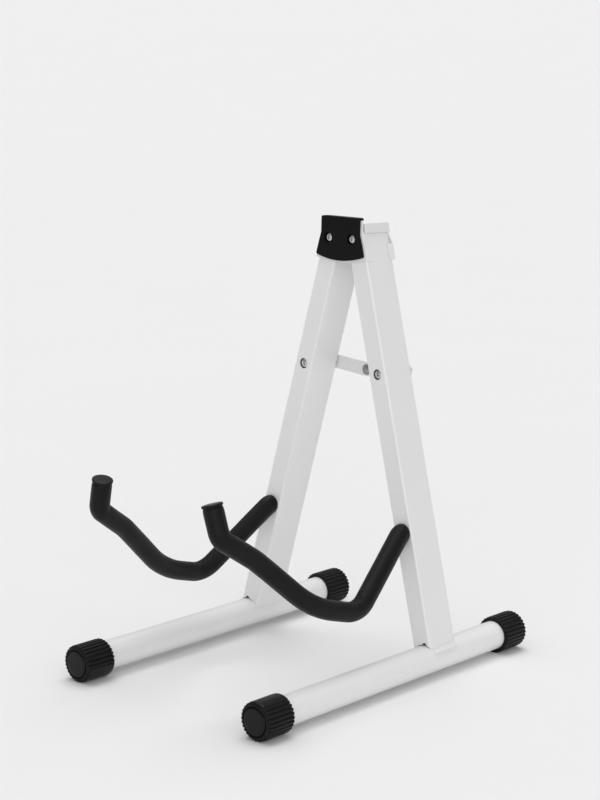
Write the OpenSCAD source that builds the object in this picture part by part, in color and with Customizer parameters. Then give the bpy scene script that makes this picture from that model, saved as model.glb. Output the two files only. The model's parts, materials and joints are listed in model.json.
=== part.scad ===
// Folding A-frame guitar stand: two splayed legs on tubular feet, a hinged head,
// a two-link folding brace and two padded arms that carry the guitar body.

/* [Frame] */
// Length of a leg from the foot tube's axis to the head hinge
leg_len = 432; // [340:1:560]
// Sideways splay of each leg when the stand is open, in degrees
leg_splay = 14.6; // [10:0.1:20]
// Backward lean of the whole frame, in degrees
leg_lean = 2.1; // [0:0.1:6]
// Distance from the leg's centre to the front end of the foot
foot_front = 268.5; // [200:0.5:340]
// Distance from the leg's centre to the rear end of the foot
foot_rear = 130; // [80:0.5:200]

/* [Tubes] */
// Width of the leg tube, seen from the front
leg_w = 22; // [18:0.5:26]
// Depth of the leg tube, front to back
leg_d = 41; // [32:0.5:50]
// Corner radius of the leg tube
leg_corner = 2; // [1.5:0.5:5]
// Outer diameter of the foot tube
foot_d = 30; // [24:1:36]
// Wall thickness of the leg and foot tubes
tube_wall = 1.5; // [1:0.1:2.5]
// Radius of the weld bead at the foot
weld_r = 2.4; // [1.5:0.1:3.5]

/* [Foot caps] */
// Crest diameter of the ribbed rubber cap
cap_d = 38.5; // [36:0.5:50]
// Length of the rubber cap
cap_len = 36; // [28:1:50]
// Number of rib pitches round the cap
cap_ribs = 28; // [16:1:36]
// Thickness of the cap's end wall
cap_wall = 3.5; // [2:0.5:6]
// Depth of the flat that the cap rests on
cap_flat = 0.25; // [0.1:0.05:0.5]

/* [Head] */
// Distance between the two hinge screws
hinge_pitch = 31; // [29:0.5:36]
// Thickness of the bracket plates
bracket_t = 1.6; // [1.2:0.1:3]
// Thickness of the moulded front cover
cover_t = 4; // [3:0.1:6]
// Outer diameter of the hinge sleeve that a leg turns on
sleeve_d = 7; // [6.5:0.1:8]
// Height of the leg tube's top above the hinge, along the leg
leg_over = 5; // [4.5:0.1:8]
// Height of the leg's top cap above the tube
top_cap_h = 8.2; // [5:0.1:10]

/* [Brace] */
// Distance from the hinge down the leg to the brace screw
brace_drop = 139.6; // [110:0.1:170]
// Width of a brace link
link_w = 14.5; // [12:0.5:20]
// Thickness of a brace link
link_t = 2.2; // [1.5:0.1:3]
// How far the middle rivet sits below the line of the brace screws
brace_sag = 4.6; // [0:0.1:7]
// Diameter of the rivet's heads
rivet_d = 11; // [8:0.5:14]
// Diameter of the access hole in the leg's front wall
access_d = 11; // [10:0.5:13]

/* [Arms] */
// Height of the arm above the foot tube's axis, along the leg
arm_z = 129.8; // [100:0.1:160]
// Diameter of the steel arm rod
rod_d = 10; // [8:0.5:12]
// Outer diameter of the foam sleeve
foam_d = 20.5; // [16:0.5:24]
// Length of the upright end of the arm
tip_rise = 24; // [10:1:60]

/* [Fasteners] */
// Diameter of the machine screws
screw_d = 5; // [4:0.5:6]
// Radial running clearance on the sleeves, screws and welded rods
run_gap = 0.05; // [0.02:0.01:0.1]
// Clearance between faces that slide or stand next to each other
face_gap = 0.1; // [0.05:0.05:0.3]

/* [Hidden] */
$fn = 64;
left = -1;
right = 1;
white = [0.93, 0.93, 0.93];
black = [0.07, 0.07, 0.07];
zinc = [0.75, 0.76, 0.78];
nylon = [0.9, 0.9, 0.86];

// Standing height of the foot axis, and half the distance between the feet
foot_z = cap_d / 2 - cap_flat;
foot_half = hinge_pitch / 2 + leg_len * sin(leg_splay);
hinge_z = leg_len * cos(leg_splay);

// Rubber caps: ribs missing at the smooth pad, the grooves between ribs, the rounded-off
// front edge, and the ring sunk round the disc in the end face
pad_ribs = 3;
groove_r = 1.1;
cap_edge = 2;
disc_r = foot_d / 2 - 1.3;
ring_w = 1.2;
ring_depth = 1;

// Foot of the leg: a slit left over the foot tube between the side welds, and a vent hole
cope_slit = 0.8;
cope_half = leg_w / 2 - 3.5;
vent_r = 3;

// Hinge stack, from the leg's faces outwards
washer_t = 0.8;
plate_y = leg_d / 2 + washer_t;
cover_y = plate_y + bracket_t;
cover_floor = 0.6;
head_r = screw_d * 0.95;
head_h = screw_d * 0.34;
counterbore_r = head_r + 0.5;
nut_r = screw_d * 0.9;
nut_h = screw_d * 0.8;
flat_washer_t = 1;
screw_tail = 1.5;

// Head plates: half widths and heights about the hinge line. The rear plate ends below
// the leg caps, and the cover stands a little inside the front plate
bracket_top = 19.2;
bracket_bottom = 25;
bracket_bow = 4.2;
rear_top = 12;
flange_t = bracket_t;
flange_gap = 0.2;
flange_high = 8;
flange_low = 25;
flange_depth = 7;
flange_out = leg_w / 2 + flange_gap + flange_t;
neck_half = hinge_pitch / 2 + 11.5;
rear_neck_half = neck_half - 3;
neck_z = 5;
cover_inset = 2;
cover_rise = 2.8;
cover_lip = 5;
cover_bottom = 22.9;
cover_bow = 5.2;
cover_corner = 2.2;
plate_corner = 1.2;

// Leg cap: its lip stands out on the leg's outer side and its plug straddles the sleeve
lip = 2.5;
lip_set_back = 3.5;
lip_skirt = 1.5;
lip_corner = 1.5;
skirt_gap = 0.8;
plug_h = 14;
plug_gap = 0.3;
washer_r = leg_over - face_gap;

// Brace: the links lie in two layers behind the legs
link_gap = 0.3;
link_front_y = leg_d / 2 + link_t;
link_rear_y = link_front_y + link_t + link_gap;
pin_half = hinge_pitch / 2 + brace_drop * sin(leg_splay);
pin_z = leg_len - brace_drop;
link_len = sqrt(pow(pin_half, 2) + pow(brace_sag, 2));
link_tilt = atan(brace_sag / pin_half);
rivet_head_t = link_t - 2 * face_gap;
rivet_shank_r = 3;
brace_head_sink = 1.2;
shoulder_r = screw_d / 2 + 1;

// Arm: each step is [straight length, turn in degrees, bend radius]
arm_start = leg_d / 2 + 0.5;
arm_run = [
    [0.2, -39.3, 10.3],
    [85.3, 53.3, 32.4],
    [18.6, 26.8, 120],
    [54.1, -7.7, 90],
    [35.6, 51.4, 14],
    [tip_rise, 0, 0]
];
bend_step = 9;
arm_sides = 20;
tip_cap_t = 3;
tip_cap_r = foam_d / 2 + 0.2;
rod_weld = 2;

// Heading, forward reach and height of the arm at the start of step i
function arm_heading(i) = i == 0 ? 0 : arm_heading(i - 1) + arm_run[i - 1][1];
function arm_reach(i) = i == 0 ? arm_start : bend_point(i - 1, 1)[0];
function arm_height(i) = i == 0 ? arm_z : bend_point(i - 1, 1)[1];

// [reach, height, heading] at fraction f of the bend that ends step i
function bend_point(i, f) =
    let (h0 = arm_heading(i), h = h0 + arm_run[i][1] * f,
         r = arm_run[i][2] * sign(arm_run[i][1]))
    [arm_reach(i) + arm_run[i][0] * cos(h0) + r * (sin(h) - sin(h0)),
     arm_height(i) + arm_run[i][0] * sin(h0) + r * (cos(h0) - cos(h)),
     h];

// Stations along the whole arm, from back_y behind the leg's centre to the tip
function arm_stations(back_y) = concat(
    [[-back_y, arm_z, 0]],
    [for (i = [0 : len(arm_run) - 1])
        let (n = max(1, ceil(abs(arm_run[i][1]) / bend_step)))
        for (k = [0 : n]) if (k > 0 || arm_run[i][1] != 0) bend_point(i, k / n)]
);
arm_last = len(arm_run) - 1;
tip_heading = arm_heading(arm_last);
tip_reach = arm_reach(arm_last) + tip_rise * cos(tip_heading);
tip_height = arm_height(arm_last) + tip_rise * sin(tip_heading);

// The origin lies under the middle of the stand's depth. The front edge is the rim of the
// arm's tip cap, or the front end of the foot where that reaches further
rim_tilt = cos(tip_heading) * cos(leg_lean) - sin(tip_heading) * cos(leg_splay) * sin(leg_lean);
front_edge = (tip_reach + tip_cap_t * cos(tip_heading)) * cos(leg_lean)
    - (tip_height + tip_cap_t * sin(tip_heading)) * cos(leg_splay) * sin(leg_lean)
    + tip_cap_r * sqrt(1 - pow(rim_tilt, 2));
depth_shift = (max(front_edge, foot_front) - foot_rear) / 2;

// ---- Frames ----

// The leaned plane that holds both legs; its origin is level with the foot axes
module lean_frame() {
    translate([0, depth_shift, foot_z]) rotate([-leg_lean, 0, 0]) children();
}

// The hinge line, midway between the two hinge screws
module head_frame() {
    lean_frame() translate([0, 0, hinge_z]) children();
}

// A leg's own frame: Z up the leg from the foot axis, Y to the back
module leg_frame(side) {
    lean_frame() translate([side * foot_half, 0, 0]) rotate([0, -side * leg_splay, 0]) children();
}

// Level frame on the foot axis, below the leg
module foot_frame(side) {
    translate([side * foot_half, depth_shift, foot_z]) children();
}

// Turns level geometry about the foot axis into the leg's own frame
module level_in_leg(side) {
    rotate([0, side * leg_splay, 0]) rotate([leg_lean, 0, 0]) children();
}

// ---- Shared shapes ----

// Rectangle with round corners, centred
module round_rect(w, d, r) {
    square([w - 2 * r, d], center = true);
    square([w, d - 2 * r], center = true);
    for (x = [-1, 1], y = [-1, 1]) {
        translate([x * (w / 2 - r), y * (d / 2 - r)]) circle(r = r);
    }
}

// Cylinder along Y from y0 to y1
module rod_y(r, y0, y1, fn = 64) {
    translate([0, y0, 0]) rotate([-90, 0, 0]) cylinder(r = r, h = y1 - y0, $fn = fn);
}

// Flat ring along Y
module ring_y(r_out, r_in, y0, y1) {
    difference() {
        rod_y(r_out, y0, y1);
        rod_y(r_in, y0 - 1, y1 + 1);
    }
}

// Plate along Y from y0 to y1 with its outline in X and Z
module plate_y(y0, y1) {
    translate([0, y1, 0]) rotate([90, 0, 0]) linear_extrude(y1 - y0) children();
}

// Both hinge positions
module at_hinges() {
    for (side = [left, right]) translate([side * hinge_pitch / 2, 0, 0]) children();
}

// Half width of the head plates at height z, where they run down outside the legs
function side_x(z) = hinge_pitch / 2 + (flange_out - z * sin(leg_splay)) / cos(leg_splay);

// Head plate outline, inset on both sides: neck, slanted shoulders, a bowed bottom edge
// and rounded corners
module head_outline(neck, inset, top, bottom, bow, corner) {
    foot_x = side_x(-bottom + bow) - inset;
    shoulder_x = side_x(-neck_z) - inset;
    neck_x = neck - inset;
    offset(r = corner) offset(delta = -corner) polygon(concat(
        [for (t = [-1 : 0.1 : 1]) [t * foot_x, -bottom + bow * pow(t, 2)]],
        [
            [shoulder_x, -neck_z],
            [neck_x, neck_z],
            [neck_x, top],
            [-neck_x, top],
            [-neck_x, neck_z],
            [-shoulder_x, -neck_z]
        ]
    ));
}

// ---- Head ----

// Plate with a flange down the outer side of each leg. facing is -1 in front, 1 behind
module bracket(facing, neck, top) {
    y0 = facing < 0 ? -plate_y - bracket_t : plate_y;
    flange_y0 = facing < 0 ? y0 : y0 - flange_depth;
    difference() {
        union() {
            plate_y(y0, y0 + bracket_t) head_outline(neck, 0, top, bracket_bottom, bracket_bow,
                plate_corner);
            for (side = [left, right]) {
                translate([side * hinge_pitch / 2, 0, 0]) rotate([0, -side * leg_splay, 0])
                    translate([side > 0 ? flange_out - flange_t : -flange_out, flange_y0, -flange_low])
                        cube([flange_t, flange_depth + bracket_t, flange_low - flange_high]);
            }
        }
        at_hinges() rod_y(screw_d / 2 + run_gap, y0 - 1, y0 + bracket_t + 1);
    }
}

module bracket_front() {
    color(white) head_frame() bracket(-1, neck_half, bracket_top);
}

module bracket_rear() {
    color(white) head_frame() bracket(1, rear_neck_half, rear_top);
}

module head_cover() {
    top = bracket_top + cover_rise;
    floor_y = -cover_y - cover_floor;
    color(black) head_frame() difference() {
        union() {
            plate_y(-cover_y - cover_t, -cover_y)
                head_outline(neck_half, cover_inset, top, cover_bottom, cover_bow, cover_corner);
            intersection() {
                translate([-neck_half, -cover_y - cover_t, bracket_top + face_gap])
                    cube([2 * neck_half, cover_lip + cover_t, cover_rise - face_gap]);
                plate_y(-cover_y - cover_t, -cover_y + cover_lip)
                    head_outline(neck_half, cover_inset, top, cover_bottom, cover_bow, cover_corner);
            }
        }
        at_hinges() {
            rod_y(screw_d / 2 + run_gap, -cover_y - cover_t - 1, -cover_y + 1);
            rod_y(counterbore_r, -cover_y - cover_t - 1, floor_y);
        }
    }
}

module hinge_screws() {
    head_y = -cover_y - cover_floor;
    tail_y = cover_y + flat_washer_t + nut_h + screw_tail;
    color(zinc) head_frame() at_hinges() difference() {
        union() {
            rod_y(head_r, head_y - head_h, head_y);
            rod_y(screw_d / 2, head_y, tail_y);
        }
        for (a = [0, 90]) rotate([0, a, 0])
            translate([-head_r / 2, head_y - head_h - 1, -0.5]) cube([head_r, 1.9, 1]);
    }
}

module hinge_sleeves() {
    color(zinc) head_frame() at_hinges()
        ring_y(sleeve_d / 2, screw_d / 2 + run_gap, -plate_y, plate_y);
}

module hinge_washers() {
    color(nylon) head_frame() at_hinges() for (m = [0, 1]) mirror([0, m, 0])
        ring_y(washer_r, sleeve_d / 2 + run_gap, leg_d / 2 + face_gap, plate_y);
}

module hinge_rear_washers() {
    color(zinc) head_frame() at_hinges()
        ring_y(nut_r + 1, screw_d / 2 + run_gap, cover_y, cover_y + flat_washer_t);
}

module hinge_nuts() {
    y0 = cover_y + flat_washer_t;
    color(zinc) head_frame() at_hinges() hex_nut(y0);
}

// Hexagon nut on the Y axis
module hex_nut(y0) {
    difference() {
        rod_y(nut_r, y0, y0 + nut_h, fn = 6);
        rod_y(screw_d / 2 + run_gap, y0 - 1, y0 + nut_h + 1);
    }
}

// ---- Legs ----

module leg_tube(side) {
    color(white) leg_frame(side) difference() {
        linear_extrude(leg_len + leg_over) difference() {
            round_rect(leg_w, leg_d, leg_corner);
            round_rect(leg_w - 2 * tube_wall, leg_d - 2 * tube_wall, leg_corner - tube_wall / 2);
        }
        level_in_leg(side) {
            rod_y(foot_d / 2 + face_gap, -leg_d, leg_d);
            intersection() {
                rod_y(foot_d / 2 + cope_slit, -leg_d, leg_d);
                translate([-cope_half, -leg_d, 0]) cube([2 * cope_half, 2 * leg_d, foot_d]);
            }
            translate([0, 0, foot_d / 2]) rod_y(vent_r, -leg_d, leg_d, fn = 32);
        }
        translate([0, 0, leg_len]) rod_y(sleeve_d / 2 + run_gap, -leg_d, leg_d);
        translate([0, 0, pin_z]) {
            rod_y(access_d / 2, -leg_d, 0);
            rod_y(screw_d / 2 + run_gap, 0, leg_d);
        }
        translate([0, 0, arm_z]) rod_y(rod_d / 2 + run_gap, -leg_d, leg_d);
    }
}

// Outline of a leg cap's lid
module lid(side, y0, y1) {
    translate([side * lip / 2, (y0 + y1) / 2]) round_rect(leg_w + lip, y1 - y0, lip_corner);
}

// Cap with an outer lip; the inner side is flush because the legs almost meet there
module leg_cap(side) {
    lip_y0 = -leg_d / 2 + lip_set_back;
    lip_y1 = plate_y - face_gap;
    web = leg_over - sleeve_d / 2 - plug_gap;
    notch = sleeve_d + 2 * plug_gap;
    color(white) leg_frame(side) translate([0, 0, leg_len + leg_over]) {
        linear_extrude(top_cap_h) lid(side, lip_y0, lip_y1);
        translate([0, 0, -lip_skirt]) linear_extrude(lip_skirt + top_cap_h / 2) intersection() {
            lid(side, lip_y0, lip_y1);
            translate([side > 0 ? leg_w / 2 + skirt_gap : -leg_w / 2 - lip, lip_y0])
                square([lip - skirt_gap, lip_y1 - lip_y0]);
        }
        difference() {
            translate([0, 0, -plug_h]) linear_extrude(plug_h)
                round_rect(leg_w - 2 * tube_wall - 2 * face_gap, leg_d - 2 * tube_wall - 2 * face_gap,
                    leg_corner - tube_wall / 2);
            translate([-notch / 2, -leg_d, -plug_h - 1]) cube([notch, 2 * leg_d, plug_h + 1 - web]);
        }
    }
}

module foot_tube(side) {
    color(white) foot_frame(side)
        ring_y(foot_d / 2, foot_d / 2 - tube_wall, -foot_front + cap_wall, foot_rear - cap_wall);
}

// A bead along each side wall of the leg, where it sits on the foot
module foot_weld(side) {
    bead_x = leg_w / 2 + weld_r / 4;
    bead_z = sqrt(pow(foot_d / 2, 2) - pow(bead_x, 2)) + weld_r / 4;
    bead_half = leg_d / 2 - leg_corner;
    color(white) leg_frame(side) difference() {
        level_in_leg(side) for (x = [-bead_x, bead_x]) translate([x, 0, bead_z]) {
            rod_y(weld_r, -bead_half, bead_half);
            for (y = [-bead_half, bead_half]) translate([0, y, 0]) sphere(r = weld_r);
        }
        linear_extrude(leg_len) round_rect(leg_w, leg_d, leg_corner);
        level_in_leg(side) rod_y(foot_d / 2, -leg_d, leg_d);
    }
}

// Ribbed cap with its closed end at y = 0 and its mouth towards +Y. A smooth pad breaks
// the ribs, pad_turn ribs round from the underside, and the underside has a small flat
module ribbed_cap(pad_turn) {
    pitch = 360 / cap_ribs;
    pad_angle = 90 - (pad_turn + 0.5) * pitch;
    difference() {
        rotate([0, pad_angle, 0]) difference() {
            rotate([-90, 0, 0]) rotate_extrude() polygon([
                [0, 0], [disc_r, 0], [disc_r, ring_depth], [disc_r + ring_w, ring_depth],
                [disc_r + ring_w, 0], [cap_d / 2 - cap_edge, 0], [cap_d / 2, cap_edge],
                [cap_d / 2, cap_len], [foot_d / 2, cap_len], [foot_d / 2, cap_wall], [0, cap_wall]
            ]);
            for (i = [pad_ribs : cap_ribs - 1]) rotate([0, (i - 1) * pitch, 0])
                translate([cap_d / 2 + groove_r / 3, 0, 0])
                    rod_y(groove_r, -1, cap_len + 1, fn = 24);
        }
        translate([-cap_d, -1, -cap_d - foot_z]) cube([2 * cap_d, cap_len + 2, cap_d]);
    }
}

module foot_cap_front(side) {
    color(black) foot_frame(side) translate([0, -foot_front, 0]) ribbed_cap(side > 0 ? 13 : 4);
}

module foot_cap_rear(side) {
    color(black) foot_frame(side) translate([0, foot_rear, 0]) rotate([0, 0, 180])
        ribbed_cap(-2);
}

// ---- Arms ----

// Round bar swept along the arm from back_y on, hollow where r_in is over 0
module arm_sweep(r_out, r_in, back_y) {
    stations = arm_stations(back_y);
    last = len(stations) - 1;
    n = arm_sides;
    radii = r_in > 0 ? [r_out, r_in] : [r_out];
    inner = len(stations) * n;
    points = [for (r = radii, p = stations, k = [0 : n - 1])
        [r * cos(k * 360 / n),
         -p[0] + r * sin(k * 360 / n) * sin(p[2]),
         p[1] + r * sin(k * 360 / n) * cos(p[2])]];
    outer_wall = [for (j = [0 : last - 1], k = [0 : n - 1])
        [j * n + k, j * n + (k + 1) % n, (j + 1) * n + (k + 1) % n, (j + 1) * n + k]];
    inner_wall = [for (f = outer_wall) [f[3] + inner, f[2] + inner, f[1] + inner, f[0] + inner]];
    rims = [for (k = [0 : n - 1]) each [
        [k, k + inner, (k + 1) % n + inner, (k + 1) % n],
        [last * n + k, last * n + (k + 1) % n, last * n + (k + 1) % n + inner, last * n + k + inner]
    ]];
    discs = [[for (k = [0 : n - 1]) n - 1 - k], [for (k = [0 : n - 1]) last * n + k]];
    polyhedron(points, r_in > 0 ? concat(outer_wall, inner_wall, rims) : concat(outer_wall, discs));
}

module arm_rod(side) {
    color(zinc) leg_frame(side) arm_sweep(rod_d / 2, 0, leg_d / 2 + rod_weld);
}

// Ring of weld round the rod on the leg's rear face
module arm_weld(side) {
    color(white) leg_frame(side) translate([0, leg_d / 2, arm_z]) rotate([-90, 0, 0]) rotate_extrude()
        polygon([[rod_d / 2, 0], [rod_d / 2 + rod_weld, 0], [rod_d / 2, rod_weld]]);
}

module arm_foam(side) {
    color(black) leg_frame(side) arm_sweep(foam_d / 2, rod_d / 2 + run_gap, -arm_start);
}

module arm_tip(side) {
    color(black) leg_frame(side) translate([0, -tip_reach, tip_height]) rotate([90 - tip_heading, 0, 0])
        cylinder(r = tip_cap_r, h = tip_cap_t);
}

// ---- Brace ----

// Its head is sunk in the access hole, and a shoulder bears on the leg's rear wall
module brace_screw(side) {
    head_y = -leg_d / 2 + brace_head_sink + head_h;
    stack_y = side > 0 ? link_rear_y : link_front_y;
    color(zinc) leg_frame(side) translate([0, 0, pin_z]) {
        rod_y(head_r, head_y - head_h, head_y);
        rod_y(shoulder_r, head_y, leg_d / 2 - tube_wall);
        rod_y(screw_d / 2, head_y, stack_y + link_t + face_gap + nut_h + screw_tail);
    }
}

module brace_spacer(side) {
    stack_y = side > 0 ? link_rear_y : link_front_y;
    color(zinc) leg_frame(side) translate([0, 0, pin_z])
        ring_y(nut_r + 0.5, screw_d / 2 + run_gap, leg_d / 2, stack_y - face_gap);
}

module brace_nut(side) {
    stack_y = side > 0 ? link_rear_y : link_front_y;
    color(zinc) leg_frame(side) translate([0, 0, pin_z]) hex_nut(stack_y + link_t + face_gap);
}

// Level frame on a brace screw
module pin_frame(side) {
    lean_frame() translate([side * pin_half, 0, hinge_z - brace_drop * cos(leg_splay)]) children();
}

module brace_link(side) {
    y0 = side > 0 ? link_rear_y : link_front_y;
    color(white) pin_frame(side) rotate([0, -side * link_tilt, 0]) difference() {
        union() {
            for (x = [0, -side * link_len]) translate([x, 0, 0]) rod_y(link_w / 2, y0, y0 + link_t);
            translate([side > 0 ? -link_len : 0, y0, -link_w / 2]) cube([link_len, link_t, link_w]);
        }
        rod_y(screw_d / 2 + run_gap, y0 - 1, y0 + link_t + 1);
        translate([-side * link_len, 0, 0]) rod_y(rivet_shank_r + run_gap, y0 - 1, y0 + link_t + 1);
    }
}

// The middle pivot is a rivet in two halves, one carried by each link
module rivet_half(head_y0, shank_y0) {
    color(black) lean_frame()
        translate([0, 0, hinge_z - brace_drop * cos(leg_splay) - brace_sag]) {
            rod_y(rivet_d / 2, head_y0, head_y0 + rivet_head_t);
            rod_y(rivet_shank_r, shank_y0, shank_y0 + link_t);
        }
}

module rivet_front() {
    rivet_half(link_front_y - rivet_head_t, link_front_y);
}

module rivet_rear() {
    rivet_half(link_rear_y + link_t, link_rear_y);
}

head_cover();
bracket_front();
bracket_rear();
hinge_screws();
hinge_sleeves();
hinge_washers();
hinge_rear_washers();
hinge_nuts();
leg_tube(left);  // leg_tube_left
leg_tube(right);  // leg_tube_right
leg_cap(left);  // leg_cap_left
leg_cap(right);  // leg_cap_right
foot_tube(left);  // foot_tube_left
foot_tube(right);  // foot_tube_right
foot_weld(left);  // foot_weld_left
foot_weld(right);  // foot_weld_right
foot_cap_front(left);  // foot_cap_front_left
foot_cap_front(right);  // foot_cap_front_right
foot_cap_rear(left);  // foot_cap_rear_left
foot_cap_rear(right);  // foot_cap_rear_right
arm_rod(left);  // arm_rod_left
arm_rod(right);  // arm_rod_right
arm_weld(left);  // arm_weld_left
arm_weld(right);  // arm_weld_right
arm_foam(left);  // arm_foam_left
arm_foam(right);  // arm_foam_right
arm_tip(left);  // arm_tip_left
arm_tip(right);  // arm_tip_right
brace_screw(left);  // brace_screw_left
brace_screw(right);  // brace_screw_right
brace_spacer(left);  // brace_spacer_left
brace_spacer(right);  // brace_spacer_right
brace_nut(left);  // brace_nut_left
brace_nut(right);  // brace_nut_right
brace_link(left);  // brace_link_left
brace_link(right);  // brace_link_right
rivet_front();
rivet_rear();
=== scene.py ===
"""Folding guitar stand: finishes, soft foam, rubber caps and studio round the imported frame."""
import json
import math
from math import cos, pi, radians, sin

import bmesh
import bpy
from mathutils import Matrix, Vector, noise


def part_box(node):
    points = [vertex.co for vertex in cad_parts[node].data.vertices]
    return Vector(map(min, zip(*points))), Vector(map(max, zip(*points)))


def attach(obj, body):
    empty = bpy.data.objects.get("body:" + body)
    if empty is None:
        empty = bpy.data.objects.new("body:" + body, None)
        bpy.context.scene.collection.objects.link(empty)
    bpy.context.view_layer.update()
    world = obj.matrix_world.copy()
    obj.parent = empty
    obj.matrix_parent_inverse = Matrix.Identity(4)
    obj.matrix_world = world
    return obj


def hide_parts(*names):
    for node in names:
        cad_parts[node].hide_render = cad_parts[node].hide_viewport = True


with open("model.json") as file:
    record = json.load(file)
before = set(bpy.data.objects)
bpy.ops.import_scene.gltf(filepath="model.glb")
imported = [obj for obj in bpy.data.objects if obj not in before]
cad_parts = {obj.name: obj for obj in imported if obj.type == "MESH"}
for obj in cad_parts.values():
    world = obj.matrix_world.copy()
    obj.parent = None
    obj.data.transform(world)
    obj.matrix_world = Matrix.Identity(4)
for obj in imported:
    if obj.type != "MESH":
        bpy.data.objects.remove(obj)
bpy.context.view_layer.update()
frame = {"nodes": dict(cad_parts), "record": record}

# ---- Sizes in millimetres, as the metalwork has them ----
MM = 0.001
SPLAY, LEAN = 14.6, 2.1
LEG_W, LEG_D, LEG_LEN = 22, 41, 432
TUBE_WALL = 1.5
FACE_GAP = 0.1
HINGE_PITCH = 31
FOOT_D, FOOT_FRONT, FOOT_REAR = 30, 268.5, 130
CAP_D, CAP_LEN, CAP_WALL, CAP_RIBS = 38.5, 36, 3.5, 28
WASHER_T, FLAT_WASHER_T, PLATE_T, COVER_FLOOR = 0.8, 1, 1.6, 0.6
PLATE_Y = LEG_D / 2 + WASHER_T
COVER_Y = PLATE_Y + PLATE_T
SCREW_D = 5
HEAD_R, HEAD_H, NUT_H = SCREW_D * 0.95, SCREW_D * 0.34, SCREW_D * 0.8
SCREW_TAIL = 1.5
BRACE_HEAD_SINK, SHOULDER_R = 1.2, SCREW_D / 2 + 1
BRACE_DROP, BRACE_SAG = 139.6, 4.6
LINK_T, LINK_GAP = 2.2, 0.3
RIVET_D, RIVET_SHANK_R, RIVET_HEAD_T = 11, 3, LINK_T - 2 * FACE_GAP
WELD_R = 2.4
FOAM_R, ROD_R = 10.25, 5
TIP_R, TIP_T = 10.45, 3
ARM_Z, ARM_START, TIP_RISE = 129.8, 21.0, 24
# Each step of an arm: straight length, turn in degrees, bend radius
ARM_RUN = [(0.2, -39.3, 10.3), (85.3, 53.3, 32.4), (18.6, 26.8, 120),
           (54.1, -7.7, 90), (35.6, 51.4, 14), (TIP_RISE, 0, 1)]
SIDES = {"left": -1, "right": 1}

# ---- Frames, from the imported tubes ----
tube_low, tube_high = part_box("foot_tube_right")
FOOT_HALF = (tube_low.x + tube_high.x) / 2
FOOT_Z = (tube_low.z + tube_high.z) / 2
DEPTH_SHIFT = tube_high.y - (FOOT_REAR - CAP_WALL) * MM

to_metres = Matrix.Scale(MM, 4)
lean_frame = (Matrix.Translation((0, DEPTH_SHIFT, FOOT_Z))
              @ Matrix.Rotation(radians(-LEAN), 4, "X"))
head_frame = lean_frame @ Matrix.Translation((0, 0, LEG_LEN * cos(radians(SPLAY)) * MM))


def leg_frame(side):
    """Frame of a leg, its Z up the tube; side is 1 for the right and -1 for the left."""
    return (lean_frame @ Matrix.Translation((side * FOOT_HALF, 0, 0))
            @ Matrix.Rotation(radians(-side * SPLAY), 4, "Y"))


def foot_frame(side):
    """Level frame on the line of a foot tube."""
    return Matrix.Translation((side * FOOT_HALF, DEPTH_SHIFT, FOOT_Z))


body_of_node = {n: b for b, nodes in frame["record"]["behaviour"]["bodies"].items()
                for n in nodes}


# ---- Finishes ----
SMOOTHEST = 0.03


def link(tree, a, b):
    """Joins output a to input b."""
    tree.links.new(a, b)


def finish(name, colour, rough, *, shade=0.04, patch=18, grain=900, grain_depth=0.02,
           grain_detail=3, rough_play=0.06, stretch=(1, 1, 1), cells=False, **sockets):
    """A finish with slow shade changes, and a fine grain that sets relief and roughness."""
    mat = bpy.data.materials.new(name)
    mat.use_nodes = True
    tree = mat.node_tree
    shader = tree.nodes["Principled BSDF"]
    for socket, value in sockets.items():
        shader.inputs[socket.replace("_", " ")].default_value = value
    coords = tree.nodes.new("ShaderNodeTexCoord").outputs["Object"]
    stretched = tree.nodes.new("ShaderNodeMapping")
    stretched.inputs["Scale"].default_value = stretch
    link(tree, coords, stretched.inputs["Vector"])

    slow = tree.nodes.new("ShaderNodeTexNoise")
    slow.inputs["Scale"].default_value = patch
    slow.inputs["Detail"].default_value = 4
    link(tree, coords, slow.inputs["Vector"])
    ramp = tree.nodes.new("ShaderNodeValToRGB")
    low = [c * (1 - shade) for c in colour]
    high = [min(1, c * (1 + shade)) for c in colour]
    ramp.color_ramp.elements[0].color = (*low, 1)
    ramp.color_ramp.elements[1].color = (*high, 1)
    ramp.color_ramp.elements[0].position = 0.3
    ramp.color_ramp.elements[1].position = 0.7
    link(tree, slow.outputs["Fac"], ramp.inputs["Fac"])
    link(tree, ramp.outputs["Color"], shader.inputs["Base Color"])

    if cells:
        fine = tree.nodes.new("ShaderNodeTexVoronoi")
        fine.inputs["Scale"].default_value = grain
        height = fine.outputs["Distance"]
    else:
        fine = tree.nodes.new("ShaderNodeTexNoise")
        fine.inputs["Scale"].default_value = grain
        fine.inputs["Detail"].default_value = grain_detail
        height = fine.outputs["Fac"]
    link(tree, stretched.outputs["Vector"], fine.inputs["Vector"])
    bump = tree.nodes.new("ShaderNodeBump")
    bump.inputs["Strength"].default_value = 1
    bump.inputs["Distance"].default_value = grain_depth * MM
    link(tree, height, bump.inputs["Height"])
    link(tree, bump.outputs["Normal"], shader.inputs["Normal"])
    play = tree.nodes.new("ShaderNodeMapRange")
    play.inputs["To Min"].default_value = max(SMOOTHEST, rough - rough_play)
    play.inputs["To Max"].default_value = min(1, rough + rough_play)
    link(tree, height, play.inputs["Value"])
    link(tree, play.outputs["Result"], shader.inputs["Roughness"])
    return mat


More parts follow.
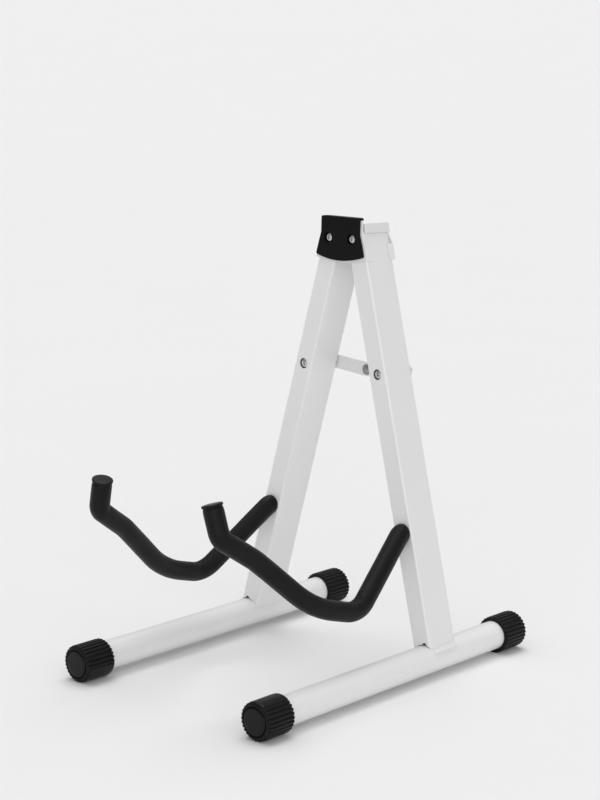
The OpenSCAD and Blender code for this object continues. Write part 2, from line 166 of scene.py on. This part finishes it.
FINISHES = {
    "paint": finish("white_powder_coat", (0.79, 0.79, 0.788), 0.34, shade=0.008, grain=420,
                    grain_depth=0.012, grain_detail=1.5, Coat_Weight=0.25, Coat_Roughness=0.18),
    "paint_plastic": finish("white_satin_plastic", (0.73, 0.73, 0.724), 0.42, shade=0.012,
                            grain=1900, grain_depth=0.012),
    "cover": finish("black_grained_plastic", (0.004, 0.004, 0.0041), 0.33, shade=0.12,
                    grain=1500, grain_depth=0.02, rough_play=0.08, Specular_IOR_Level=0.1),
    "rubber": finish("black_cap_rubber", (0.0035, 0.0035, 0.0034), 0.34, shade=0.16, patch=60,
                     grain=1300, grain_depth=0.02, rough_play=0.08, Specular_IOR_Level=0.19),
    "foam": finish("black_closed_cell_foam", (0.0065, 0.0065, 0.0067), 0.42, shade=0.14,
                   patch=45, grain=1700, grain_depth=0.07, cells=True, rough_play=0.08,
                   Sheen_Weight=0.01, Sheen_Roughness=0.5, Specular_IOR_Level=0.14),
    "zinc": finish("bright_zinc_plate", (0.56, 0.57, 0.585), 0.24, shade=0.05, patch=90,
                   grain=700, grain_depth=0.004, stretch=(1, 6, 1), Metallic=1.0),
    "rivet": finish("grey_satin_steel", (0.3, 0.3, 0.305), 0.32, shade=0.12, patch=120,
                    grain=1200, grain_depth=0.006, Metallic=1.0),
    "nylon": finish("natural_nylon", (0.78, 0.77, 0.71), 0.46, shade=0.03, grain=1500,
                    grain_depth=0.012, Subsurface_Weight=0.15, Subsurface_Scale=0.002),
}


# ---- Making and handing over a piece ----
SAME_POINT = 2e-6        # metres, in the metalwork's own meshes
SAME_POINT_MADE = 1e-5   # in the units of a mesh made here
STRAIGHT_ANGLE = 0.4     # degrees between faces that count as one


def piece_from(name, mesh, slot):
    """An object in the scene with this mesh and the slot's finish."""
    mesh.name = name
    mesh.materials.clear()
    mesh.materials.append(FINISHES[slot])
    obj = bpy.data.objects.new(name, mesh)
    bpy.context.scene.collection.objects.link(obj)
    return obj


def mesh_from(bm, frame_matrix=None, flat_over=35):
    """A closed mesh from bm, put in its place, its faces outwards and smooth up to an angle."""
    bmesh.ops.remove_doubles(bm, verts=bm.verts, dist=SAME_POINT_MADE)
    bmesh.ops.recalc_face_normals(bm, faces=bm.faces)
    if frame_matrix is not None:
        bmesh.ops.transform(bm, matrix=frame_matrix, verts=bm.verts)
    mesh = bpy.data.meshes.new("made")
    bm.to_mesh(mesh)
    bm.free()
    mesh.shade_smooth()
    mesh.set_sharp_from_angle(angle=radians(flat_over))
    return mesh


def baked(obj):
    """obj with its modifiers' result as a plain mesh."""
    mesh = bpy.data.meshes.new_from_object(
        obj.evaluated_get(bpy.context.evaluated_depsgraph_get()))
    obj.modifiers.clear()
    obj.data = mesh
    return obj


def hand_over(obj, slot, *nodes):
    """The piece stands for its nodes and rides on their body."""
    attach(obj, body_of_node[nodes[0]])
    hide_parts(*nodes)


def softened(node, slot, width, steps=3, angle=30):
    """The node's own shape with its sharp edges rounded over."""
    mesh = frame["nodes"][node].data.copy()
    bm = bmesh.new()
    bm.from_mesh(mesh)
    bmesh.ops.remove_doubles(bm, verts=bm.verts, dist=SAME_POINT)
    bmesh.ops.dissolve_limit(bm, angle_limit=radians(STRAIGHT_ANGLE),
                             verts=bm.verts, edges=bm.edges)
    bm.to_mesh(mesh)
    bm.free()
    if "custom_normal" in mesh.attributes:
        mesh.attributes.remove(mesh.attributes["custom_normal"])
    obj = piece_from(node + "_rounded", mesh, slot)
    mesh.shade_smooth()
    bevel = obj.modifiers.new("edges", "BEVEL")
    bevel.width = width * MM
    bevel.segments = steps
    bevel.limit_method = "ANGLE"
    bevel.angle_limit = radians(angle)
    bevel.harden_normals = True
    bevel.miter_outer = "MITER_ARC"
    weights = obj.modifiers.new("flat_faces", "WEIGHTED_NORMAL")
    weights.keep_sharp = False
    baked(obj)
    hand_over(obj, slot, node)


def turned(profile, segments=96, start=0.0):
    """Turns a closed outline of (radius, depth) about the Y axis."""
    bm = bmesh.new()
    rings = []
    for k in range(segments):
        a = start + 2 * pi * k / segments
        rings.append([bm.verts.new((r * cos(a), y, -r * sin(a))) for r, y in profile])
    for k in range(segments):
        here, there = rings[k], rings[(k + 1) % segments]
        for i in range(len(profile) - 1):
            bm.faces.new((here[i], here[i + 1], there[i + 1], there[i]))
    return bm


def swept(stations, section, closed_ends=True):
    """Skins rings of points; section(i) gives ring i as points."""
    bm = bmesh.new()
    rings = [[bm.verts.new(p) for p in section(i)] for i in range(stations)]
    n = len(rings[0])
    for a, b in zip(rings, rings[1:]):
        for k in range(n):
            bm.faces.new((a[k], a[(k + 1) % n], b[(k + 1) % n], b[k]))
    if closed_ends:
        for ring in (rings[0], rings[-1]):
            centre = bm.verts.new(sum((v.co for v in ring), Vector()) / n)
            for k in range(n):
                bm.faces.new((ring[k], ring[(k + 1) % n], centre))
    return bm


# ---- Geometry Nodes helpers ----
class Tree:
    """A Geometry Nodes tree with named inputs."""

    def __init__(self, name, inputs):
        self.tree = bpy.data.node_groups.new(name, "GeometryNodeTree")
        face = self.tree.interface
        face.new_socket("Geometry", in_out="INPUT", socket_type="NodeSocketGeometry")
        face.new_socket("Geometry", in_out="OUTPUT", socket_type="NodeSocketGeometry")
        for label, kind in inputs.items():
            face.new_socket(label, in_out="INPUT", socket_type="NodeSocket" + kind)
        self.given = self.tree.nodes.new("NodeGroupInput").outputs
        self.result = self.tree.nodes.new("NodeGroupOutput").inputs[0]

    def node(self, kind, **values):
        """A new node with its own settings."""
        made = self.tree.nodes.new(kind)
        for label, value in values.items():
            setattr(made, label, value)
        return made

    def put(self, value, socket):
        """Feeds a socket from another node's output, or with a plain value."""
        if hasattr(value, "is_output"):
            self.tree.links.new(value, socket)
        else:
            socket.default_value = value

    def calc(self, operation, *values):
        """The output of a math node on values."""
        made = self.node("ShaderNodeMath", operation=operation)
        for value, socket in zip(values, made.inputs):
            self.put(value, socket)
        return made.outputs[0]

    def finish(self, geometry):
        """Makes geometry real, gives it the finish and sends it out of the tree."""
        whole = self.node("GeometryNodeRealizeInstances")
        self.put(geometry, whole.inputs["Geometry"])
        painted = self.node("GeometryNodeSetMaterial")
        self.put(whole.outputs[0], painted.inputs["Geometry"])
        self.put(self.given["Finish"], painted.inputs["Material"])
        self.put(painted.outputs[0], self.result)


def run_tree(obj, tree, values):
    """Applies a tree to obj with its named inputs set, and leaves a plain mesh."""
    use = obj.modifiers.new(tree.tree.name, "NODES")
    use.node_group = tree.tree
    ids = {s.name: s.identifier for s in tree.tree.interface.items_tree
           if s.in_out == "INPUT"}
    for label, value in values.items():
        use[ids[label]] = value
    return baked(obj)


# ---- Rubber caps ----
RIB_DEPTH, PAD_RIBS, STEPS_PER_RIB = 2.3, 4, 10
RIB_START_R, RIB_FULL_R = 15.3, 16.9
# Place of each cap's smooth pad, in ribs round from its lowest point
PAD_FRONT = {1: 13, -1: 4}
PAD_REAR = -2


def make_rib_tree():
    """Presses rounded ribs into a turned cap, leaves a smooth pad, and rests it on a flat."""
    t = Tree("cap_ribs", {"Ribs": "Float", "Pad angle": "Float", "Pad ribs": "Float",
                          "Rib depth": "Float", "Start radius": "Float",
                          "Full radius": "Float", "Rest height": "Float",
                          "Finish": "Material"})
    x, y, z = t.node("ShaderNodeSeparateXYZ").outputs
    split = x.node
    t.put(t.node("GeometryNodeInputPosition").outputs[0], split.inputs[0])
    angle = t.calc("ARCTAN2", t.calc("MULTIPLY", z, -1.0), x)
    share = t.calc("DIVIDE", t.calc("SUBTRACT", angle, t.given["Pad angle"]), 2 * pi)
    count = t.calc("MULTIPLY", share, t.given["Ribs"])
    across = t.calc("SUBTRACT", t.calc("MULTIPLY", t.calc("FRACT", count), 2.0), 1.0)
    round_over = t.calc("SQRT", t.calc("SUBTRACT", 1.0, t.calc(
        "MULTIPLY", t.calc("MULTIPLY", across, across), 0.97)))
    press = t.calc("SUBTRACT", 1.0, round_over)
    radius = t.calc("SQRT", t.calc("ADD", t.calc("MULTIPLY", x, x), t.calc("MULTIPLY", z, z)))
    ease = t.node("ShaderNodeMapRange", interpolation_type="SMOOTHSTEP")
    t.put(radius, ease.inputs["Value"])
    t.put(t.given["Start radius"], ease.inputs["From Min"])
    t.put(t.given["Full radius"], ease.inputs["From Max"])
    turns = t.calc("SUBTRACT", share, t.calc("ROUND", share))
    away = t.calc("MULTIPLY", t.calc("ABSOLUTE", turns), t.given["Ribs"])
    on_ribs = t.calc("GREATER_THAN", away, t.calc("DIVIDE", t.given["Pad ribs"], 2.0))
    depth = t.calc("MULTIPLY", t.calc("MULTIPLY", press, on_ribs),
                   t.calc("MULTIPLY", ease.outputs["Result"], t.given["Rib depth"]))
    shrink = t.calc("SUBTRACT", 1.0, t.calc(
        "DIVIDE", depth, t.calc("MAXIMUM", radius, 1e-6)))
    moved = t.node("ShaderNodeCombineXYZ")
    t.put(t.calc("MULTIPLY", x, shrink), moved.inputs[0])
    t.put(y, moved.inputs[1])
    t.put(t.calc("MAXIMUM", t.calc("MULTIPLY", z, shrink),
                 t.calc("MULTIPLY", t.given["Rest height"], -1.0)), moved.inputs[2])
    place = t.node("GeometryNodeSetPosition")
    t.put(t.given["Geometry"], place.inputs["Geometry"])
    t.put(moved.outputs[0], place.inputs["Position"])
    t.finish(place.outputs[0])
    return t


rib_tree = make_rib_tree()
R = CAP_D / 2
CAP_OUTLINE = [
    (0, 0.05), (4, 0.05), (9, 0.08), (12.4, 0.16), (13.1, 0.3), (13.55, 0.65), (13.7, 1.2),
    (13.85, 1.7), (14.2, 1.9), (14.6, 1.75), (14.8, 1.2), (15.0, 0.75), (15.4, 0.6),
    (16.0, 0.62), (16.7, 0.8), (17.5, 1.15), (18.2, 1.6), (18.75, 2.2), (R - 0.2, 2.9),
    (R - 0.03, 3.7), (R, 4.6), (R, 9), (R, 13), (R, 18), (R, 23), (R, 28),
    (R, 32), (R, 34), (R - 0.1, 35), (R - 0.4, 35.6), (R - 0.9, 35.9), (R - 1.5, CAP_LEN),
    (15.6, CAP_LEN), (15.2, 35.8), (15.06, 35.3), (15.06, 3.6), (0, 3.6)]


def rubber_cap(name, side, end_y, turn_round, pad_turn):
    """A ribbed cap with its closed end at end_y; turn_round points it to the rear."""
    pad_angle = radians(90 - (pad_turn + 0.5) * 360 / CAP_RIBS)
    bm = turned(CAP_OUTLINE, segments=CAP_RIBS * STEPS_PER_RIB, start=pad_angle)
    cap = piece_from(name + "_ribbed", mesh_from(bm, flat_over=50), "rubber")
    run_tree(cap, rib_tree, {
        "Ribs": float(CAP_RIBS), "Pad angle": pad_angle, "Pad ribs": float(PAD_RIBS),
        "Rib depth": RIB_DEPTH, "Start radius": RIB_START_R, "Full radius": RIB_FULL_R,
        "Rest height": FOOT_Z / MM,
        "Finish": FINISHES["rubber"]})
    place = (foot_frame(side) @ Matrix.Translation((0, end_y * MM, 0))
             @ Matrix.Rotation(pi if turn_round else 0, 4, "Z") @ to_metres)
    cap.data.transform(place)
    hand_over(cap, "rubber", name)


for label, side in SIDES.items():
    rubber_cap("foot_cap_front_" + label, side, -FOOT_FRONT, False, PAD_FRONT[side])
    rubber_cap("foot_cap_rear_" + label, side, FOOT_REAR, True, PAD_REAR)


# ---- Foam arms ----
FOAM_STEP, FOAM_AROUND, FOAM_INSET = 0.9, 64, 0.18
BEND_FADE = 5                  # reach of a bend's creases into the straights beside it
CREASE_PITCH, CREASE_DEPTH = 2.3, 0.95
CUT_EDGE, TIP_PINCH = 0.55, 0.55


def arm_line(step):
    """Points along the arm: reach, height, heading, bend (its sign and 1/radius), distance."""
    out, x, z, h, s = [], ARM_START, ARM_Z, 0.0, 0.0
    for length, turn, bend_r in ARM_RUN:
        n = max(1, round(length / step))
        for k in range(n):
            d = length * k / n
            out.append((x + d * cos(h), z + d * sin(h), h, 0.0, s + d))
        x, z, s = x + length * cos(h), z + length * sin(h), s + length
        turn = radians(turn)
        if turn:
            sign = math.copysign(1, turn)
            n = max(3, round(abs(turn) * bend_r / (step * 0.6)))
            for k in range(n):
                f = h + turn * k / n
                out.append((x + sign * bend_r * (sin(f) - sin(h)),
                            z + sign * bend_r * (cos(h) - cos(f)), f, sign / bend_r,
                            s + abs(turn) * bend_r * k / n))
            x += sign * bend_r * (sin(h + turn) - sin(h))
            z += sign * bend_r * (cos(h) - cos(h + turn))
            s += abs(turn) * bend_r
            h += turn
    out.append((x, z, h, 0.0, s))
    return out


def foam_sleeve(label, side):
    """The soft sleeve along an arm, creased on the inside of its bends."""
    line = arm_line(FOAM_STEP)
    total = line[-1][4]
    bend_sign = []
    for p in line:
        near = [q[3] for q in line if abs(q[4] - p[4]) < BEND_FADE]
        bend_sign.append(sum(near) / len(near))

    def ring(i):
        reach, height, h, _, s = line[i]
        points = []
        end = min(s, total - s)
        lip = CUT_EDGE * math.exp(-end / 0.8)
        pinch = TIP_PINCH * math.exp(-((total - s) / 2.6) ** 2)
        for k in range(FOAM_AROUND):
            a = 2 * pi * k / FOAM_AROUND
            inner = math.copysign(1, bend_sign[i]) * sin(a)
            tight = min(1.0, abs(bend_sign[i]) * 30)
            phase = s / CREASE_PITCH + 0.35 * noise.noise((s * 0.11, side * 7.0, cos(a)))
            crease = abs(sin(pi * phase)) ** 0.45 - 0.85
            wrinkle = CREASE_DEPTH * tight * max(0.0, inner) ** 1.4 * crease
            soft = 0.13 * noise.noise((cos(a) * 1.2, sin(a) * 1.2, s * 0.05 + side * 11))
            line_s = (s + 2 * noise.noise((s * 0.02, side, 4.0))) / 13.0
            faint = -0.07 * max(0.0, 1 - abs((line_s % 1) - 0.5) * 26)
            r = FOAM_R - FOAM_INSET + soft + wrinkle + faint - lip - pinch
            points.append(Vector((r * cos(a), -reach + r * sin(a) * sin(h),
                                  height + r * sin(a) * cos(h))))
        return points

    bm = swept(len(line), ring)
    foam = piece_from("arm_foam_%s_sleeve" % label,
                      mesh_from(bm, leg_frame(side) @ to_metres, flat_over=60), "foam")
    hand_over(foam, "foam", "arm_foam_" + label)


def arm_tip(label, side):
    """The rubber disc on an arm's end."""
    reach, height, h, _, _ = arm_line(2)[-1]
    outline = [(0, 0.02), (TIP_R - 1.3, 0.02), (TIP_R - 0.4, 0.2), (TIP_R - 0.08, 0.6),
               (TIP_R, 1.1), (TIP_R, 1.8), (TIP_R - 0.15, 2.3), (TIP_R - 0.6, 2.7),
               (TIP_R - 1.3, 2.86), (5, 2.95), (0, TIP_T - 0.02)]
    place = (leg_frame(side) @ Matrix.Translation((0, -reach * MM, height * MM))
             @ Matrix.Rotation(pi / 2 - h, 4, "X") @ Matrix.Rotation(pi / 2, 4, "X"))
    tip = piece_from("arm_tip_%s_disc" % label,
                     mesh_from(turned(outline), place @ to_metres, 50), "rubber")
    hand_over(tip, "rubber", "arm_tip_" + label)


for label, side in SIDES.items():
    foam_sleeve(label, side)
    arm_tip(label, side)


# ---- Welds ----
BEAD_RINGS, BEAD_AROUND, BEAD_INSET, BEAD_END_GAP = 150, 24, 0.12, 2
RING_STEPS, RING_AROUND, RING_BEAD_R, RING_SIT = 160, 14, 1.25, 0.35


def foot_weld(label, side):
    """A rippled bead along each side wall of the leg."""
    bead_x = LEG_W / 2 + WELD_R / 4
    bead_z = math.sqrt((FOOT_D / 2) ** 2 - bead_x ** 2) + WELD_R / 4
    half = LEG_D / 2 - BEAD_END_GAP
    level = (Matrix.Rotation(radians(side * SPLAY), 4, "Y")
             @ Matrix.Rotation(radians(LEAN), 4, "X"))
    whole = bmesh.new()
    for x in (-bead_x, bead_x):
        def ring(i):
            y = -half + 2 * half * i / (BEAD_RINGS - 1)
            end = half - abs(y)
            swell = math.sqrt(max(0.02, 1 - max(0, 1 - end / 2.2) ** 2))
            out = []
            for k in range(BEAD_AROUND):
                a = 2 * pi * k / BEAD_AROUND
                ripple = 1 + 0.055 * abs(sin(pi * (y + 0.9 * cos(a - pi / 4)) / 2.1)) ** 0.6
                uneven = 1 + 0.04 * noise.noise((y * 0.3, x, a))
                r = (WELD_R - BEAD_INSET) * swell * ripple * uneven
                out.append(Vector((x + r * cos(a), y, bead_z + r * sin(a))))
            return out
        bead_mesh = mesh_from(swept(BEAD_RINGS, ring))
        whole.from_mesh(bead_mesh)
        bpy.data.meshes.remove(bead_mesh)
    bead = piece_from("foot_weld_%s_bead" % label,
                      mesh_from(whole, leg_frame(side) @ to_metres @ level, 60), "paint")
    hand_over(bead, "paint", "foot_weld_" + label)


def arm_weld(label, side):
    """A rippled ring of weld round the rod on the leg's rear face."""
    def ring(i):
        a = 2 * pi * i / RING_STEPS
        out = []
        for k in range(RING_AROUND):
            b = 2 * pi * k / RING_AROUND
            r = RING_BEAD_R * (1 + 0.07 * abs(sin(a * 15 + 0.5 * sin(b))))
            reach = ROD_R + RING_SIT + r * cos(b)
            out.append(Vector((reach * cos(a), LEG_D / 2 + RING_SIT + r * sin(b) * 0.95,
                               ARM_Z + reach * sin(a))))
        return out
    bm = swept(RING_STEPS + 1, ring, closed_ends=False)
    weld = piece_from("arm_weld_%s_ring" % label,
                      mesh_from(bm, leg_frame(side) @ to_metres, 60), "paint")
    hand_over(weld, "paint", "arm_weld_" + label)


for label, side in SIDES.items():
    foot_weld(label, side)
    arm_weld(label, side)


# ---- Screws with a cross recess ----
RECESS_W, RECESS_L, RECESS_DEPTH, RECESS_CENTRE = 2.0, 6.6, 3.0, 1.7
END_CHAMFER = 0.7
CROSS_TURN = 20   # degrees, of the brace screws' crosses


def make_screw_tree():
    """Cuts a cross recess in a screw and sets one at each hinge."""
    t = Tree("cross_head_screws", {"Count": "Int", "Pitch": "Float", "Recess width": "Float",
                                   "Recess length": "Float", "Recess depth": "Float",
                                   "Head face": "Float", "Finish": "Material"})
    half_root = math.sqrt(0.5)
    cutters = []
    for turn in (0, pi / 2):
        bar = t.node("GeometryNodeMeshCone", fill_type="NGON")
        bar.inputs["Vertices"].default_value = 4
        bar.inputs["Radius Top"].default_value = 1.0
        bar.inputs["Radius Bottom"].default_value = 0.45
        bar.inputs["Depth"].default_value = 1.0
        square = t.node("GeometryNodeTransform")
        t.put(bar.outputs["Mesh"], square.inputs["Geometry"])
        square.inputs["Rotation"].default_value = (0, 0, pi / 4)
        size = t.node("ShaderNodeCombineXYZ")
        t.put(t.calc("MULTIPLY", t.given["Recess length"], half_root), size.inputs[0])
        t.put(t.calc("MULTIPLY", t.given["Recess width"], half_root), size.inputs[1])
        t.put(t.given["Recess depth"], size.inputs[2])
        sized = t.node("GeometryNodeTransform")
        t.put(square.outputs[0], sized.inputs["Geometry"])
        t.put(size.outputs[0], sized.inputs["Scale"])
        faced = t.node("GeometryNodeTransform")
        t.put(sized.outputs[0], faced.inputs["Geometry"])
        faced.inputs["Rotation"].default_value = (pi / 2, turn, 0)
        spot = t.node("ShaderNodeCombineXYZ")
        t.put(t.given["Head face"], spot.inputs[1])
        t.put(spot.outputs[0], faced.inputs["Translation"])
        cutters.append(faced.outputs[0])
    cut = t.node("GeometryNodeMeshBoolean", operation="DIFFERENCE", solver="EXACT")
    t.put(t.given["Geometry"], cut.inputs["Mesh 1"])
    for cutter in cutters:
        t.tree.links.new(cutter, cut.inputs["Mesh 2"])
    line = t.node("GeometryNodeMeshLine")
    t.put(t.given["Count"], line.inputs["Count"])
    gap = t.node("ShaderNodeCombineXYZ")
    t.put(t.given["Pitch"], gap.inputs[0])
    t.put(gap.outputs[0], line.inputs["Offset"])
    first = t.node("ShaderNodeCombineXYZ")
    t.put(t.calc("MULTIPLY", t.given["Pitch"], -0.5), first.inputs[0])
    t.put(first.outputs[0], line.inputs["Start Location"])
    copies = t.node("GeometryNodeInstanceOnPoints")
    t.put(line.outputs[0], copies.inputs["Points"])
    t.put(cut.outputs[0], copies.inputs["Instance"])
    t.finish(copies.outputs[0])
    return t


screw_tree = make_screw_tree()


def cross_head(name, face, outline_behind, pitch, place, node):
    """A pan head with its crown at face, on the given shank; a pair where pitch is over 0."""
    crown = [(0, face), (2.6, face + 0.05), (3.6, face + 0.22), (4.3, face + 0.55),
             (HEAD_R - 0.06, face + 1.0), (HEAD_R, face + 1.35), (HEAD_R - 0.1, face + HEAD_H)]
    screws = piece_from(name, mesh_from(turned(crown + outline_behind, 64)), "zinc")
    run_tree(screws, screw_tree, {
        "Count": 2 if pitch else 1, "Pitch": float(pitch), "Recess width": RECESS_W,
        "Recess length": RECESS_L, "Recess depth": RECESS_DEPTH,
        "Head face": face + RECESS_CENTRE,
        "Finish": FINISHES["zinc"]})
    screws.data.transform(place)
    screws.data.set_sharp_from_angle(angle=radians(35))
    hand_over(screws, "zinc", node)


def shank(start, end):
    """Outline of a screw's shank with a chamfered end."""
    r = SCREW_D / 2
    return [(r, start), (r, end - END_CHAMFER), (r - END_CHAMFER, end), (0, end)]


hinge_face = -COVER_Y - COVER_FLOOR - HEAD_H
cross_head("hinge_screws_cross_head", hinge_face,
           shank(hinge_face + HEAD_H, COVER_Y + FLAT_WASHER_T + NUT_H + SCREW_TAIL),
           HINGE_PITCH, head_frame @ to_metres, "hinge_screws")
inner_wall_y = LEG_D / 2 - TUBE_WALL
for label, side in SIDES.items():
    face = -LEG_D / 2 + BRACE_HEAD_SINK
    stack = LEG_D / 2 + LINK_T + (LINK_T + LINK_GAP if side > 0 else 0)
    shoulder = [(SHOULDER_R, face + HEAD_H), (SHOULDER_R, inner_wall_y)]
    end = stack + LINK_T + FACE_GAP + NUT_H + SCREW_TAIL
    cross_head("brace_screw_%s_cross_head" % label, face,
               shoulder + shank(inner_wall_y, end), 0,
               leg_frame(side) @ Matrix.Translation((0, 0, (LEG_LEN - BRACE_DROP) * MM))
               @ Matrix.Rotation(radians(CROSS_TURN * side), 4, "Y") @ to_metres,
               "brace_screw_" + label)


# ---- Brace rivet, in two domed halves ----
def rivet(name, head_out, head_in, shank_end):
    """head_out is the crown's depth, head_in its flat under-face, shank_end the far end."""
    step = 1 if head_in > head_out else -1
    rise = abs(head_in - head_out)
    r, edge = RIVET_D / 2, 0.15
    dome = [(r * sin(radians(a)), head_out + step * rise * 0.8 * (1 - cos(radians(a))))
            for a in range(0, 91, 10)]
    outline = dome + [(r, head_in - step * edge), (r - edge, head_in),
                      (RIVET_SHANK_R, head_in), (RIVET_SHANK_R, shank_end), (0, shank_end)]
    place = head_frame @ Matrix.Translation(
        (0, 0, (-BRACE_DROP * cos(radians(SPLAY)) - BRACE_SAG) * MM))
    piece = piece_from(name + "_domed",
                       mesh_from(turned(outline), place @ to_metres, 40), "rivet")
    hand_over(piece, "rivet", name)


front_y = LEG_D / 2 + LINK_T
rear_y = front_y + LINK_T + LINK_GAP
rivet("rivet_front", front_y - RIVET_HEAD_T, front_y, front_y + LINK_T)
rivet("rivet_rear", rear_y + LINK_T + RIVET_HEAD_T, rear_y + LINK_T, rear_y)


# ---- Rounded metal and moulded parts ----
softened("bracket_front", "paint", 0.35)
softened("bracket_rear", "paint", 0.35)
softened("head_cover", "cover", 1.1, steps=5)
for label in SIDES:
    softened("leg_tube_" + label, "paint", 0.25, steps=2, angle=40)
    softened("leg_cap_" + label, "paint_plastic", 0.7, steps=4)
    softened("brace_link_" + label, "paint", 0.45)
    softened("brace_spacer_" + label, "zinc", 0.2, steps=2)
    softened("brace_nut_" + label, "zinc", 0.3, steps=2)
softened("hinge_nuts", "zinc", 0.3, steps=2)
softened("hinge_rear_washers", "zinc", 0.15, steps=2)

# Nodes that keep their own shape and only take a finish
CARRIED = {"paint": ["foot_tube_left", "foot_tube_right"],
           "zinc": ["hinge_sleeves", "arm_rod_left", "arm_rod_right"],
           "nylon": ["hinge_washers"]}
for slot, names in CARRIED.items():
    for name in names:
        data = frame["nodes"][name].data
        if not data.materials:
            data.materials.append(None)
        for i in range(len(data.materials)):
            data.materials[i] = FINISHES[slot]


# ---- Studio ----
# Radius and height of the floor's rings, in metres
FLOOR_RINGS = [(0.8, 0.0), (4.0, 0.0), (8.0, 0.1), (20.0, 0.75), (90.0, 5.0)]
FLOOR_AROUND = 72


def studio_floor():
    """A pale floor that rises very gently far out, so that no horizon shows."""
    bm = bmesh.new()
    around = FLOOR_AROUND
    rows = [[bm.verts.new((r * cos(2 * pi * k / around), r * sin(2 * pi * k / around), z))
             for k in range(around)] for r, z in FLOOR_RINGS]
    bm.faces.new(rows[0])
    for a, b in zip(rows, rows[1:]):
        for k in range(around):
            bm.faces.new((a[k], b[k], b[(k + 1) % around], a[(k + 1) % around]))
    mesh = bpy.data.meshes.new("studio_floor")
    bm.to_mesh(mesh)
    bm.free()
    mesh.shade_smooth()
    floor = bpy.data.objects.new("studio_floor", mesh)
    bpy.context.scene.collection.objects.link(floor)
    mesh.materials.append(finish("pale_floor", (0.865, 0.865, 0.865), 0.9, shade=0.004,
                                 patch=3, grain=60, grain_depth=0.0, Specular_IOR_Level=0.0))


def sun(name, place, aim, **values):
    """A sun that shines from place towards aim."""
    data = bpy.data.lights.new(name, "SUN")
    for key, value in values.items():
        setattr(data, key, value)
    obj = bpy.data.objects.new(name, data)
    obj.location = place
    obj.rotation_euler = (Vector(aim) - Vector(place)).to_track_quat("-Z", "Y").to_euler()
    bpy.context.scene.collection.objects.link(obj)


def studio_world(strength):
    """A grey sky that is darker near the horizon."""
    world = bpy.data.worlds.new("studio")
    bpy.context.scene.world = world
    world.use_nodes = True
    tree = world.node_tree
    back = tree.nodes["Background"]
    coords = tree.nodes.new("ShaderNodeTexCoord").outputs["Generated"]
    split = tree.nodes.new("ShaderNodeSeparateXYZ")
    link(tree, coords, split.inputs[0])
    ramp = tree.nodes.new("ShaderNodeValToRGB")
    ramp.color_ramp.elements[0].position = 0.0
    ramp.color_ramp.elements[0].color = (0.3, 0.3, 0.3, 1)
    ramp.color_ramp.elements[1].position = 0.7
    ramp.color_ramp.elements[1].color = (1, 1, 1, 1)
    link(tree, split.outputs[2], ramp.inputs[0])
    link(tree, ramp.outputs[0], back.inputs["Color"])
    back.inputs["Strength"].default_value = strength


studio_floor()
studio_world(0.6)
sun("overhead_key", (-0.5, 0.6, 3.0), (0, 0, 0), energy=1.2, angle=radians(42))
sun("side_fill", (2.6, -1.1, 1.0), (0, 0, 0.2), energy=0.55, angle=radians(45))
sun("front_fill", (1.4, -2.2, 0.55), (0, 0, 0.2), energy=0.85, angle=radians(40))


def studio_camera():
    """The camera, aimed from an azimuth, an elevation and a distance."""
    azimuth, elevation, distance = radians(42.61), radians(10.88), 2.13127
    aim = Vector((-0.06637, DEPTH_SHIFT + 0.00177, FOOT_Z + 0.24052))
    back = Vector((sin(azimuth) * cos(elevation), -cos(azimuth) * cos(elevation),
                   sin(elevation)))
    data = bpy.data.cameras.new("studio_camera")
    data.lens = 90.33
    data.sensor_width = 36
    data.clip_end = 200
    camera = bpy.data.objects.new("studio_camera", data)
    camera.location = aim + back * distance
    camera.rotation_euler = (-back).to_track_quat("-Z", "Y").to_euler()
    bpy.context.scene.collection.objects.link(camera)
    bpy.context.scene.camera = camera


studio_camera()
bpy.context.scene.view_settings.view_transform = "Standard"

bpy.context.view_layer.update()
